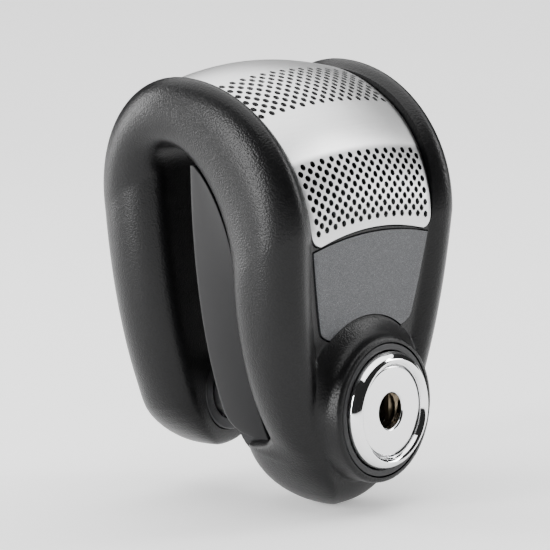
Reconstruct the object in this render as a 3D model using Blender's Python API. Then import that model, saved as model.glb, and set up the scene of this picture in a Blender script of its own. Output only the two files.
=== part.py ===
# Disc brake lock: a steel U in a moulded cover, locked across its slot by a push button with a disc cylinder.
# The lock stands on its front leg with the button pushed in (locked). X is the width, -Y the front, +Z up,
# and the origin is under the middle of the lock.
from math import cos, pi, radians, sin, sqrt

import bmesh
import bpy

mm = 0.001

# Overall sizes
pin_height = 23.0 * mm  # locking pin's axis above the lowest point of the front leg
body_half_width = 31.0 * mm
rim_y = -30.0 * mm  # plane of the button's rim, the front of the lock but for its dome
arch_y = 5.0 * mm  # centre of the arch of the beads
arch_z = pin_height + 41.7 * mm
arch_front = 33.0 * mm
arch_back = 27.0 * mm
arch_rise = 32.0 * mm
front_leg_lean = 0.10
back_leg_lean = 0.03
front_pole = -14.0 * mm  # y of the front leg's lowest point
toe_height = 10.0 * mm
chin_height = 13.8 * mm
back_leg_bottom = 9.0 * mm
back_toe = 11.5 * mm
back_under = 6.5 * mm  # the back leg's outer face comes in this far at its bottom
slot_under = 5.0 * mm  # and its face in the slot this far back
taper_height = 8.3 * mm  # above arch_z, where the legs are widest

# Disc slot
slot_front = 2.0 * mm
slot_gap = 13.0 * mm
slot_roof = 52.3 * mm  # centre of the slot's round end above the pin's axis

# Cover
bead_width_leg = 10.5 * mm
bead_width_arch = 7.8 * mm
bead_depth = 2.0 * mm
recess_end = 6.0 * mm  # above a leg's lowest point
recess_run = 24.0 * mm
corner_depth = 10.0 * mm
cover_wall = 5.0 * mm  # behind the recess between the beads
back_flank_wall = 5.0 * mm
back_foot_wall = 3.0 * mm
seam_back = -10.5 * mm  # the seam between the front leg's bar and its insert
seam_start = 31.0 * mm  # height above the pin's axis where the seam leaves the leg for the arch
seam_lean = 0.02
seam_tuck = 3.4 * mm
chin_tuck = 7.0 * mm
back_tuck = 6.0 * mm
slot_skin = 1.8 * mm  # cover over the back leg's steel, inside the slot

# Inlays
inlay_thickness = 1.2 * mm
plate_thickness = 0.9 * mm
backing_thickness = 0.5 * mm
plate_arch_y = arch_y + 3.0 * mm
plate_arch_z = pin_height + 40.3 * mm
plate_radius = arch_front + 1.7 * mm
plate_rise = arch_rise + 2.7 * mm
plate_crown = 2.6 * mm
plate_half_top = body_half_width - 8.0 * mm
plate_half_foot = body_half_width - 11.0 * mm
plate_from = radians(184)  # angles on the plate's arch, from the back over the top to the front
plate_to = radians(38)
plate_back = arch_back - 5.0 * mm  # the arch is tighter behind its top
panel_top_gap = 0.8 * mm
panel_half_top = body_half_width - 11.4 * mm
panel_half_foot = body_half_width - 16.4 * mm
panel_slope = 0.105
end_bow = 2.3 * mm  # the plate's ends curve up this far in the middle

# Inserts
insert_thickness = 3.0 * mm
insert_foot = -6.3 * mm
seam_play = 0.2 * mm

# Button, pin and bore
button_radius = 13.0 * mm
button_length = 28.0 * mm
rim_dome = 2.0 * mm
face_radius = 10.2 * mm
face_recess = 0.7 * mm
keyhole_radius = 3.95 * mm
pin_radius = 7.0 * mm
pin_engagement = 4.0 * mm
button_travel = 17.3 * mm
collar_wall = 1.4 * mm
boss_wall = 1.2 * mm
boss_proud = 0.7 * mm  # the rim stands this far in front of the boss
boss_flare = 4.2 * mm  # the boss widens this far where it meets the panel
flare_depth = 5.6 * mm
boss_depth = 9.0 * mm
heel_wall = 1.5 * mm
seal_width = 1.0 * mm

# Cylinder
disc_count = 6
disc_thickness = 1.2 * mm
spacer_thickness = 0.35 * mm
disc_gap = 0.25 * mm
disc_radius = 7.3 * mm
barrel_radius = 9.3 * mm
disc_codes = (0, 36, 108, 72, 18, 90)  # how far each disc's keyhole is turned, in degrees
barrel_floor = 1.2 * mm
key_turn = radians(90)
sidebar_drop = 1.2 * mm
sidebar_half = 0.9 * mm
sidebar_proud = 1.0 * mm
cross_radius = 1.3 * mm
ring_radius = 10.9 * mm
ring_thickness = 0.8 * mm
web_front = -14.0 * mm  # the shell's web between the cylinder and the locking pin
web_back = -9.5 * mm
web_hole = 4.2 * mm
pin_neck = 4.0 * mm
spring_pocket = 11.0 * mm

# Latch and retaining screw
latch_y = -14.0 * mm
latch_radius = 1.8 * mm
latch_length = 7.0 * mm
latch_spring_room = 5.6 * mm
latch_plug_length = 3.0 * mm
screw_radius = 1.6 * mm
screw_length = 4.0 * mm
keyway_depth = 1.7 * mm

# Bushes
bush_wall = 1.75 * mm
receiver_wall = 2.45 * mm
receiver_floor = 1.2 * mm
bush_chamfer = 0.5 * mm
vent_radius = 1.2 * mm

# Clearances
gap = 0.3 * mm
running = 0.25 * mm

flat_within = 0.001 * mm  # a face that bends more than this is split, so that Booleans cut flat faces

steps_round = 36
steps_small = 12
chin_stations = 5
first_station = 0.35  # the lowest ring, which closes the front leg's bottom
leg_stations = 8
arch_stations = 12
panel_rows = 8
plate_rows = 18

# Worked out from the sizes above
slot_back = slot_front + slot_gap
slot_radius = slot_gap / 2
slot_mid = slot_front + slot_radius
boss_y = rim_y + boss_proud
button_back = rim_y + button_length
bore_radius = button_radius + running
bore_end = button_back + 0.5 * mm
pin_tip = slot_back + pin_engagement
core_nose_radius = bore_radius + collar_wall
boss_radius = core_nose_radius + gap + boss_wall
panel_foot = boss_radius + 0.25 * mm
heel_radius = bore_radius + heel_wall
backing_top = plate_thickness + gap
bed_reach = 6 * mm
guide_radius = pin_radius + running + bush_wall
receiver_radius = pin_radius + running + receiver_wall
receiver_back = pin_tip + 1.0 * mm + receiver_floor
latch_tip = pin_height + button_radius - keyway_depth + gap
latch_head = latch_tip + latch_length
latch_spring_top = latch_head + latch_spring_room
latch_top = latch_spring_top + latch_plug_length
screw_y = button_back - 2 * mm - button_travel - screw_radius - gap
face_seat = rim_y - face_recess + 1.0 * mm
ring_y = face_seat + gap
barrel_front = ring_y + ring_thickness + gap
barrel_back = web_front - gap
chamber_radius = barrel_radius + gap
disc_chamber = disc_radius + gap
disc_pitch = disc_thickness + spacer_thickness + 2 * disc_gap
disc_front = barrel_front + gap  # front face of the first disc
sidebar_back = disc_front + (disc_count - 1) * disc_pitch + disc_thickness


def material(name, color, rough, metal):
    made = bpy.data.materials.new(name)
    made.use_nodes = True
    shader = made.node_tree.nodes["Principled BSDF"]
    shader.inputs["Base Color"].default_value = (*color, 1)
    shader.inputs["Roughness"].default_value = rough
    shader.inputs["Metallic"].default_value = metal
    return made


def part(name, points, faces, finish=None, parent=None, smooth=True):
    """A mesh object from world points. Its origin goes to its parent's, which stands on its joint's axis."""
    mesh = bpy.data.meshes.new(name)
    origin = parent.location if parent else (0, 0, 0)
    mesh.from_pydata([[p[i] - origin[i] for i in range(3)] for p in points], [], faces)
    shape = bmesh.new()
    shape.from_mesh(mesh)
    bmesh.ops.recalc_face_normals(shape, faces=shape.faces)
    bent = [f for f in shape.faces
            if max(abs((v.co - f.verts[0].co).dot(f.normal)) for v in f.verts) > flat_within]
    bmesh.ops.triangulate(shape, faces=bent)
    shape.to_mesh(mesh)
    shape.free()
    made = bpy.data.objects.new(name, mesh)
    bpy.context.scene.collection.objects.link(made)
    made.parent = parent
    if finish:
        mesh.materials.append(finish)
    if smooth:
        mesh.shade_smooth()
        mesh.set_sharp_from_angle(angle=radians(35))
    return made


def cut(target, cutter, how="DIFFERENCE"):
    """One exact Boolean. The cutter stays in the scene as a wire that isn't rendered."""
    cutter.hide_render = True
    cutter.display_type = "WIRE"
    made = target.modifiers.new(how.title() + " " + cutter.name, "BOOLEAN")
    made.operation = how
    made.object = cutter
    made.solver = "EXACT"


def joint_axis(name, y, z):
    made = bpy.data.objects.new(name, None)
    made.empty_display_size = 5 * mm
    made.location = (0, y, z)
    bpy.context.scene.collection.objects.link(made)
    return made


def band(rings, caps=True):
    """Faces between rings of equal length, as (points, faces)."""
    n = len(rings[0])
    points = [p for ring in rings for p in ring]
    faces = []
    last = len(rings) if not caps else len(rings) - 1
    for i in range(last):
        a, b = i * n, ((i + 1) % len(rings)) * n
        for j in range(n):
            k = (j + 1) % n
            faces.append((a + j, a + k, b + k, b + j))
    if caps:
        faces.append(tuple(range(n)))
        faces.append(tuple(range((len(rings) - 1) * n, len(rings) * n)))
    return points, faces


def turned(name, profile, finish=None, parent=None, steps=steps_round, ring=True):
    """A closed (radius, y) profile turned about the pin's axis. It runs from front to back on its outside."""
    around = [2 * pi * (i + 0.5) / steps for i in range(steps)]
    if ring:
        rings = [[(r * cos(a), y, pin_height + r * sin(a)) for r, y in profile] for a in around]
        points, faces = band(rings, caps=False)
        return part(name, points, faces, finish, parent)
    # the first and last profile points are on the axis, so they become the two poles
    rows = [[(r * cos(a), y, pin_height + r * sin(a)) for a in around] for r, y in profile[1:-1]]
    points, faces = band(rows, caps=True)
    return part(name, points, faces, finish, parent)


def rod(name, radius, y0, y1, finish=None, parent=None, steps=steps_round):
    return turned(name, [(0, y0), (radius, y0), (radius, y1), (0, y1)], finish, parent, steps, False)


def tube(name, outer, inner, y0, y1, finish=None, parent=None, steps=steps_round):
    return turned(name, [(outer, y0), (outer, y1), (inner, y1), (inner, y0)], finish, parent, steps)


def post(name, radius, y, z0, z1, finish=None, parent=None, steps=steps_small):
    """An upright round pin."""
    around = [2 * pi * (i + 0.5) / steps for i in range(steps)]
    rows = [[(radius * cos(a), y + radius * sin(a), z) for a in around] for z in (z0, z1)]
    points, faces = band(rows)
    return part(name, points, faces, finish, parent)


def slab(name, outline, x0, x1, finish=None, parent=None):
    """A (y, z) outline pushed along X."""
    points, faces = band([[(x, y, z) for y, z in outline] for x in (x0, x1)])
    return part(name, points, faces, finish, parent, False)


def plank(name, outline, y0, y1):
    """An (x, z) outline pushed along Y."""
    points, faces = band([[(x, y, z) for x, z in outline] for y in (y1, y0)])
    return part(name, points, faces)


def arc(cy, cz, ry, rz, a0, a1, steps):
    return [(cy + ry * cos(a0 + (a1 - a0) * i / steps), cz + rz * sin(a0 + (a1 - a0) * i / steps))
            for i in range(steps + 1)]


def mix(a, b, t):
    return a + (b - a) * t


# ---- the body's outer shape ----


def leg_half_width(z):
    """Half width of the front leg at height z: an ellipse that closes at the leg's bottom."""
    top = arch_z + taper_height
    if z >= top:
        return body_half_width
    return body_half_width * sqrt(max(0.0, 1 - ((top - z) / top) ** 2))


def back_half_width(z):
    """The back leg is as wide as the inserts' faces, and rounded under on a shorter ellipse."""
    wide = leg_half_width(z) - seam_tuck
    low = max(0.0, 1 - (z - back_leg_bottom) / back_toe)
    return wide * sqrt(max(0.0, 1 - low ** 2))


def front_crest(z):
    """y of the front leg's bead at height z, rounded under towards the leg's bottom."""
    y = arch_y - arch_front + front_leg_lean * (arch_z - z)
    return mix(y, front_pole, tucked_under(z))


def tucked_under(z):
    """0 on the straight of the front leg, 1 at its lowest point."""
    return 1 - sqrt(1 - min(1.0, max(0.0, 1 - z / toe_height)) ** 2)


def front_seam(z):
    """y of the seam behind the front leg's bar."""
    return seam_back + seam_lean * (pin_height + seam_start - z)


def chin(z):
    """y of the cover's underside behind the leg's lowest point, up to the slot."""
    return front_pole + (slot_front - 0.5 * mm - front_pole) * sqrt(1 - max(0.0, 1 - z / chin_height) ** 2)


def stations():
    """(outer (y, z), inner (y, z), half width, bead width, tuck, recess) from the front leg's bottom over the
    arch to the back leg's bottom."""
    made = []
    seam_top = pin_height + seam_start
    for i in (first_station, *range(1, chin_stations + 1)):
        drop = 1 - cos(i / chin_stations * pi / 2)
        zo = toe_height * drop
        made.append(((front_crest(zo), zo), (chin(chin_height * drop), chin_height * drop), leg_half_width(zo),
                     bead_width_leg, chin_tuck, recess_depth(zo)))
    for i in range(leg_stations + 1):
        zo = mix(toe_height + 1.5 * mm, arch_z, i / leg_stations)
        zi = mix(chin_height + 0.5 * mm, seam_top, i / leg_stations)
        made.append(((front_crest(zo), zo), (front_seam(zi), zi), leg_half_width(zo), bead_width_leg,
                     seam_tuck, recess_depth(zo)))
    roof_z = pin_height + slot_roof + slot_radius
    for i in range(1, arch_stations):
        a = pi * (1 - i / arch_stations)
        rim = arch_front if cos(a) < 0 else arch_back
        outer = (arch_y + rim * cos(a), arch_z + arch_rise * sin(a))
        if cos(a) < 0:
            power = 2 / 1.8
            inner = (slot_mid - (slot_mid - seam_back) * (-cos(a)) ** power,
                     seam_top + (roof_z - seam_top) * sin(a) ** power)
        else:
            inner = (slot_mid + slot_radius * cos(a), pin_height + slot_roof + slot_radius * sin(a))
        arched = sin(a)
        narrow = back_half_width(arch_z) if cos(a) > 0 else leg_half_width(arch_z)
        made.append((outer, inner, mix(narrow, body_half_width, arched),
                     mix(bead_width_leg, bead_width_arch, arched),
                     mix(seam_tuck, back_tuck, i / arch_stations), bead_depth))
    for i in range(leg_stations, 0, -1):
        drop = 1 - cos(i / leg_stations * pi / 2)
        zo = mix(back_leg_bottom, arch_z, drop)
        zi = mix(back_leg_bottom, pin_height + slot_roof, drop)
        low = 1 - sqrt(max(0.0, 1 - max(0.0, 1 - (zo - back_leg_bottom) / back_toe) ** 2))
        back_y = arch_y + arch_back - back_leg_lean * (arch_z - zo)
        made.append(((back_y - back_under * low, zo), (slot_back + slot_under * low, zi), back_half_width(zo),
                     bead_width_leg, back_tuck, recess_depth(zo - back_leg_bottom)))
    return made


def recess_depth(height):
    """The recess between the beads runs out towards a leg's bottom."""
    t = min(1.0, max(0.0, (height - recess_end) / recess_run))
    return bead_depth * t * t * (3 - 2 * t)


def cover_ring(outer, inner, half, bead, tuck, recess):
    """One closed cross section of the body: recessed front, two beads, bulging flanks, flat inner face."""
    depth = sqrt((inner[0] - outer[0]) ** 2 + (inner[1] - outer[1]) ** 2)
    size = min(1.0, half / (20 * mm))
    bead, tuck = bead * size, tuck * size
    corner = min(corner_depth, depth * 0.5)
    flat = max(half - bead, half * 0.3)
    crest = mix(flat, half, 0.42)
    side = [(flat * 0.5, recess), (flat, recess), (mix(flat, crest, 0.35), recess * 0.55),
            (mix(flat, crest, 0.7), recess * 0.12), (crest, 0)]
    side += [(crest + (half - crest) * sin(a), corner * (1 - cos(a)))
             for a in (radians(18), radians(36), radians(54), radians(72), radians(90))]
    side += [(half - tuck * (1 - cos(a)) , corner + (depth - corner) * sin(a))
             for a in (radians(30), radians(60), radians(78), radians(90))]
    section = [(0, recess)] + side + [(0, depth)] + [(-x, d) for x, d in reversed(side)]
    uy, uz = (inner[0] - outer[0]) / depth, (inner[1] - outer[1]) / depth
    return [(x, outer[0] + uy * d, outer[1] + uz * d) for x, d in section]


# ---- the steel core ----


def core_side(grow):
    """(y, z) outline of the steel U, grown by grow where it is under the cover."""
    wall = cover_wall + bead_depth - grow
    outline = []
    foot = pin_height - heel_radius - grow
    outline.append((front_crest(foot + 6 * mm) + wall + 1.5 * mm, foot))
    for i in range(7):
        z = mix(foot + 6 * mm, arch_z, i / 6)
        outline.append((front_crest(z) + wall, z))
    outline += arc(arch_y, arch_z, arch_front - wall, arch_rise - wall, radians(168), radians(90), 7)
    outline += arc(arch_y, arch_z, arch_back - wall, arch_rise - wall, radians(78), 0, 7)
    back_foot = back_leg_bottom + back_foot_wall - grow
    back_y = arch_y + arch_back - wall - back_leg_lean * (arch_z - back_foot)
    outline.append((back_y, back_foot + 8 * mm))
    outline.append((back_y - 3.5 * mm, back_foot))
    skin = slot_skin - grow
    outline.append((slot_back + skin + 2 * mm, back_foot))
    outline.append((slot_back + skin, back_foot + 5 * mm))
    roof = pin_height + slot_roof
    outline += arc(slot_mid, roof, slot_radius + skin, slot_radius + skin, 0, radians(90), 5)
    outline += arc(slot_mid, roof, slot_radius - grow, slot_radius + skin, radians(108), pi, 4)
    if grow:
        # the cavity is open towards the slot
        outline += [(slot_front + 5 * mm, roof - 2 * mm), (slot_front + 5 * mm, foot)]
    else:
        outline += [(slot_front, foot + 4 * mm), (slot_front - 4 * mm, foot)]
    return outline


def core_front(grow):
    """(x, z) outline of the front leg's steel: round about the bore at the foot, wider towards the arch."""
    top = arch_z + arch_rise
    radius = heel_radius + grow
    wide = body_half_width - seam_tuck - insert_thickness - gap + grow
    shoulder = pin_height + 32 * mm
    right = [(radius * cos(a), pin_height + radius * sin(a))
             for a in (radians(-90 + 9 * (i + 0.5)) for i in range(10))]
    right += [(mix(radius, wide, sin(pi / 2 * i / 6)), mix(pin_height, shoulder, i / 6)) for i in range(7)]
    right.append((wide, top))
    return right + [(-x, z) for x, z in reversed(right)]


def core_back(grow):
    """The same outline behind the slot, where the steel keeps its distance inside the back leg's ellipse."""
    foot = back_leg_bottom + back_foot_wall - grow
    right = []
    for i in range(17):
        z = mix(foot, arch_z, 1 - cos(pi / 2 * (i + 0.5) / 16.5))
        wide = leg_half_width(z) - seam_tuck - back_flank_wall + grow
        low = max(0.0, 1 - (z - foot) / back_toe)
        right.append((wide * sqrt(1 - low ** 2), z))
    right.append((body_half_width - seam_tuck - back_flank_wall + grow, arch_z + arch_rise))
    return right + [(-x, z) for x, z in reversed(right)]


def core_shape(name, grow, finish=None):
    body = slab(name, core_side(grow), -body_half_width, body_half_width, finish)
    views = [(core_front(grow), -40 * mm), (core_front(grow), slot_mid),
             (core_back(grow), slot_mid + 0.5 * mm), (core_back(grow), 40 * mm)]
    points, faces = band([[(x, y, z) for x, z in outline] for outline, y in views])
    cut(body, part(name + "_front_view", points, faces), "INTERSECT")
    return body


def core_half_width(z):
    """Half width of the steel at height z, where an insert lies on it."""
    outline = [p for p in core_front(0) if p[0] >= 0]
    for (x0, z0), (x1, z1) in zip(outline, outline[1:]):
        if z0 <= z <= z1:
            return mix(x0, x1, (z - z0) / (z1 - z0))
    return outline[-1][0]


# ---- pieces of the body ----


def make_core(finish):
    core = core_shape("core_body", 0, finish)
    nose = rod("core_nose", core_nose_radius, boss_y + collar_wall + seal_width + 2 * gap, slot_front - 6 * mm)
    cut(core, nose, "UNION")
    cut(core, rod("core_bore", bore_radius, rim_y - 5 * mm, bore_end))
    cut(core, rod("core_pin_hole", guide_radius + gap, bore_end - 1 * mm, slot_front + 1 * mm))
    cut(core, rod("core_receiver_hole", receiver_radius + gap, slot_back - 1 * mm, receiver_back + gap))
    cut(core, post("core_latch_hole", latch_radius + running, latch_y, pin_height, latch_top + gap))
    cut(core, post("core_screw_hole", screw_radius + running, screw_y, pin_height - 18 * mm, pin_height))
    return core


def flared_boss():
    """The round boss of the lock. Its upper half widens in a hollow curve towards the panel."""
    profile = [(-0.4 * mm, 0.0, 0), (0, 0.6 * mm, 0), (0.2 * mm, 0.3 * flare_depth, 0),
               (0.2 * mm, 0.62 * flare_depth, 0.2), (0.2 * mm, 0.85 * flare_depth, 0.5),
               (0.2 * mm, flare_depth, 1), (0.2 * mm, boss_depth, 1)]
    rows = []
    for wider, depth, flare in profile:
        row = []
        for i in range(steps_round):
            a = 2 * pi * (i + 0.5) / steps_round
            upward = min(1.0, max(0.0, 0.25 + 1.5 * sin(a)))
            r = boss_radius + wider + boss_flare * flare * upward
            row.append((r * cos(a), boss_y + depth, pin_height + r * sin(a)))
        rows.append(row)
    points, faces = band(rows)
    return part("cover_boss", points, faces)


def make_cover(finish):
    rings = [cover_ring(*s) for s in stations()]
    points, faces = band(rings)
    cover = part("outer_cover", points, faces, finish)
    cut(cover, flared_boss(), "UNION")
    cut(cover, core_shape("cover_cavity", gap))
    cut(cover, rod("cover_bore", core_nose_radius + gap, rim_y - 5 * mm, slot_front - 2 * mm))
    cut(cover, rod("cover_receiver", receiver_radius + gap, slot_mid, receiver_back + gap))
    bed = inlay("cover_panel_bed", panel_face, panel_rows, gap, -bed_reach, inlay_thickness + gap)
    cut(bed, rod("bed_boss_cut", boss_radius + boss_flare, rim_y - 10 * mm, 0, steps=28))
    cut(cover, bed)
    cut(cover, inlay("cover_plate_bed", plate_face, plate_rows, gap, -bed_reach,
                     backing_top + backing_thickness + 2 * gap))
    cut(cover, post("cover_screw_hole", screw_radius + gap, screw_y, pin_height - 30 * mm, pin_height))
    return cover


def panel_face(t, u, grow):
    """Point and inward normal of the front panel's face. t runs from its foot to its top, u across it."""
    top = plate_arch_z + plate_rise * sin(plate_from) - panel_top_gap - gap + grow
    foot = pin_height + panel_foot - grow
    half = mix(panel_half_foot, panel_half_top, t ** 0.8) + grow - 3.0 * mm * max(0.0, 1 - t * 8) ** 2
    z = mix(foot, top + end_bow * (1 - u * u), t)
    y = plate_arch_y - plate_radius + 0.6 * mm + panel_slope * (top - z)
    return (half * u, y, z), (0.0, 1.0, 0.0)


def plate_face(t, u, grow):
    """The same of the grille plate, which runs over the arch from front to back, crowned across."""
    bow = end_bow * (1 - u * u) / plate_radius
    a = mix(plate_from + grow / plate_radius - bow, plate_to - grow / plate_radius + bow, t)
    from_foot = (plate_from - a) / radians(60)
    half = mix(plate_half_foot, plate_half_top, sin(min(1.0, max(0.0, from_foot)) * pi / 2)) + grow
    half -= 2.0 * mm * max(0.0, 1 - min(t, 1 - t) * 18) ** 2
    crown = plate_crown * min(1.0, max(0.0, from_foot))
    reach = plate_back if cos(a) > 0 else plate_radius
    tilt = sqrt((cos(a) / reach) ** 2 + (sin(a) / plate_rise) ** 2)
    ny, nz = -cos(a) / reach / tilt, -sin(a) / plate_rise / tilt
    sag = crown * u * u
    point = (half * u, plate_arch_y + reach * cos(a) + ny * sag, plate_arch_z + plate_rise * sin(a) + nz * sag)
    return point, (0.0, ny, nz)


def inlay(name, face, along, grow, top, bottom, finish=None):
    """A thin strip between two depths below its face. A bed's cutter starts at a negative depth."""
    across = 8
    rings = []
    for i in range(along + 1):
        ring = []
        for depth, order in ((bottom, 1), (top, -1)):
            for j in range(across + 1):
                point, inward = face(i / along, order * (2 * j / across - 1), grow)
                ring.append([p + n * depth for p, n in zip(point, inward)])
        rings.append(ring)
    points, faces = band(rings)
    return part(name, points, faces, finish)


def make_inlays(panel_finish, plate_finish, backing_finish):
    panel = inlay("front_panel", panel_face, panel_rows, 0, 0, inlay_thickness, panel_finish)
    cut(panel, rod("panel_boss_cut", boss_radius + boss_flare + gap, rim_y - 10 * mm, 0, steps=28))
    inlay("grille_plate", plate_face, plate_rows, 0, 0, plate_thickness, plate_finish)
    inlay("grille_backing", plate_face, plate_rows, -1.0 * mm, backing_top, backing_top + backing_thickness,
          backing_finish)


def make_insert(name, side, finish):
    """The plate beside the slot. Its front edge follows the seam, its back edge ends at the slot's wall."""
    roof = pin_height + slot_roof
    foot = pin_height + insert_foot
    top = roof + slot_radius * 0.38
    rings = []
    seam_top = pin_height + seam_start
    roof_z = roof + slot_radius
    for i in range(15):
        z = mix(foot, top, i / 14)
        if z <= seam_top:
            front = front_seam(z)
        else:
            rise = min(1.0, (z - seam_top) / (roof_z - seam_top))
            front = slot_mid - (slot_mid - seam_back) * (1 - rise ** 1.8) ** (1 / 1.8)
        front += gap + seam_play
        back = slot_front - 0.05 * mm
        low = max(0.0, 1 - (z - foot) / (6 * mm))
        back -= 6 * mm * (1 - sqrt(max(0.0, 1 - low ** 2)))
        front = min(front, back - 1.2 * mm)
        inner = core_half_width(z) + gap
        outer = max(leg_half_width(z) - seam_tuck + 0.2 * mm, inner + 1.2 * mm)
        rings.append([(side * x, y, z) for x, y in ((inner, front), (outer, front), (outer, back - 1.2 * mm),
                                                    (outer - 0.9 * mm, back), (inner, back))])
    points, faces = band(rings)
    return part(name, points, faces, finish)


# ---- button, pin and cylinder ----

def make_button(chrome, steel, dark):
    axis = joint_axis("button_axis", rim_y, pin_height)
    rim = [(face_radius, rim_y - face_recess - 0.1 * mm), (face_radius + 0.5 * mm, rim_y - rim_dome * 0.85),
           (button_radius - 1.6 * mm, rim_y - rim_dome), (button_radius - 0.6 * mm, rim_y - rim_dome * 0.6),
           (button_radius, rim_y)]
    profile = rim + [(button_radius, button_back), (spring_pocket, button_back), (spring_pocket, web_back),
                     (web_hole, web_back), (web_hole, web_front), (chamber_radius, web_front),
                     (chamber_radius, barrel_front - 0.15 * mm),
                     (ring_radius + 0.15 * mm, barrel_front - 0.15 * mm),
                     (ring_radius + 0.15 * mm, ring_y - 0.15 * mm), (face_radius, ring_y - 0.15 * mm)]
    shell = turned("button_shell", profile, chrome, axis)
    reach = button_back + 1 * mm
    top = pin_height + button_radius
    cut(shell, box("shell_latch_way", latch_radius + gap, latch_y - latch_radius - gap, reach,
                   top - keyway_depth, top + 2 * mm))
    low = pin_height - button_radius
    cut(shell, box("shell_screw_way", screw_radius + gap, screw_y - screw_radius - gap,
                   screw_y + button_travel + screw_radius + gap, low - 2 * mm, low + keyway_depth))
    cut(shell, crosswise("shell_cross_hole", cross_radius + gap, button_radius + 1 * mm))
    cut(shell, plank("shell_sidebar_way", ramp_outline(), disc_front - gap, sidebar_back + gap))
    pin = turned("locking_pin", [(0, web_front + gap), (pin_neck, web_front + gap), (pin_neck, web_back + gap),
                                 (pin_radius, web_back + gap), (pin_radius, pin_tip - 1.2 * mm),
                                 (pin_radius - 1.2 * mm, pin_tip), (0, pin_tip)], steel, axis, ring=False)
    cut(pin, crosswise("pin_cross_hole", cross_radius + gap, 8 * mm))
    crosswise("cross_pin", cross_radius, button_radius - 0.8 * mm, steel, axis)
    tube("snap_ring", ring_radius, 8.3 * mm, ring_y, ring_y + ring_thickness, dark, axis)
    coil("return_spring", 9.3 * mm, 0.6 * mm, web_back + 0.95 * mm, bore_end - 0.95 * mm, 4, steel, axis)


def crosswise(name, radius, half_length, finish=None, parent=None, steps=16):
    y = (web_front + web_back) / 2
    rows = [[(x, y + radius * cos(2 * pi * i / steps), pin_height + radius * sin(2 * pi * i / steps))
             for i in range(steps)] for x in (-half_length, half_length)]
    points, faces = band(rows)
    return part(name, points, faces, finish, parent)


def box(name, half, y0, y1, z0, z1):
    return slab(name, [(y0, z0), (y1, z0), (y1, z1), (y0, z1)], -half, half)


def coil(name, radius, wire, start, end, turns, finish, parent=None, upright=None, sides=5, steps=12):
    """A helical spring along Y, or along Z above upright."""
    rings = []
    count = turns * steps
    for i in range(count + 1):
        a = 2 * pi * i / steps
        along = mix(start, end, i / count)
        ring = []
        for j in range(sides):
            b = 2 * pi * j / sides
            r, d = radius + wire * cos(b), along + wire * sin(b)
            ring.append((r * cos(a), upright + r * sin(a), d) if upright is not None
                        else (r * cos(a), d, pin_height + r * sin(a)))
        rings.append(ring)
    points, faces = band(rings)
    return part(name, points, faces, finish, parent)


def ramp_outline():
    """(x, z) outline of the shell's sidebar groove: full depth at the top, run out at the end of the turn."""
    start, end = radians(90) + 0.22, radians(90) - key_turn - 0.22
    outline = [((chamber_radius - 1 * mm) * cos(a), pin_height + (chamber_radius - 1 * mm) * sin(a))
               for a in (mix(end, start, i / 8) for i in range(9))]
    for i in range(13):
        a = mix(start, end, i / 12)
        left = min(1.0, max(0.0, 1 - (radians(90) - a - 0.22) / key_turn))
        r = barrel_radius + gap + (sidebar_proud + gap) * left
        outline.append((r * cos(a), pin_height + r * sin(a)))
    return outline


def keyhole(name, turn, y0, y1, steps=12):
    """The cutter of a disc's half-moon keyhole: a round hole with one flat, turned by the disc's code."""
    flat = radians(52)
    outline = [(keyhole_radius * cos(turn + a), pin_height + keyhole_radius * sin(turn + a))
               for a in (mix(flat, 2 * pi - flat, i / steps) for i in range(steps + 1))]
    return plank(name, outline[::-1], y0, y1)


def make_cylinder(chrome, brass, steel):
    axis = joint_axis("key_axis", rim_y, pin_height)
    face_front = rim_y - face_recess
    turned("face_disc", [(keyhole_radius, face_front + 0.35 * mm), (keyhole_radius + 0.4 * mm, face_front),
                                (face_radius - gap, face_front), (face_radius - gap, face_seat),
                                (7.6 * mm, face_seat), (7.6 * mm, barrel_front - gap),
                                (keyhole_radius, barrel_front - gap)], chrome, axis)
    barrel = turned("rotor_barrel", [(barrel_radius, barrel_front), (barrel_radius, barrel_back),
                                     (0.8 * mm, barrel_back), (0.8 * mm, barrel_back - barrel_floor),
                                     (disc_chamber, barrel_back - barrel_floor), (disc_chamber, barrel_front)],
                    brass, axis)
    cut(barrel, box("barrel_sidebar_way", sidebar_half + gap, disc_front - gap, sidebar_back + gap,
                    pin_height + disc_chamber - 1.5 * mm, pin_height + barrel_radius + 2 * mm))
    for i in range(disc_count):
        y = disc_front + i * disc_pitch
        made = rod(f"detainer_disc_{i + 1}", disc_radius, y, y + disc_thickness, brass, axis, 24)
        cut(made, keyhole(f"disc_{i + 1}_keyhole", radians(disc_codes[i]), y - 1 * mm,
                          y + disc_thickness + 1 * mm))
        notch = disc_radius - sidebar_drop - gap
        cut(made, box(f"disc_{i + 1}_notch", sidebar_half + gap, y - 1 * mm, y + disc_thickness + 1 * mm,
                      pin_height + notch, pin_height + disc_radius + 2 * mm))
        if i < disc_count - 1:
            back = y + disc_thickness + disc_gap
            ring = tube(f"disc_spacer_{i + 1}", disc_radius, keyhole_radius + 0.3 * mm, back,
                        back + spacer_thickness, steel, axis, 18)
            cut(ring, box(f"spacer_{i + 1}_notch", sidebar_half + gap, back - 1 * mm,
                          back + spacer_thickness + 1 * mm, pin_height + notch,
                          pin_height + disc_radius + 2 * mm))


def make_sidebar(steel):
    axis = joint_axis("sidebar_axis", rim_y, pin_height)
    bottom = pin_height + disc_radius + gap
    top = pin_height + barrel_radius + sidebar_proud
    return slab("sidebar", [(disc_front, bottom), (sidebar_back, bottom), (sidebar_back, top),
                            (disc_front, top)], -sidebar_half, sidebar_half, steel, axis)


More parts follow.
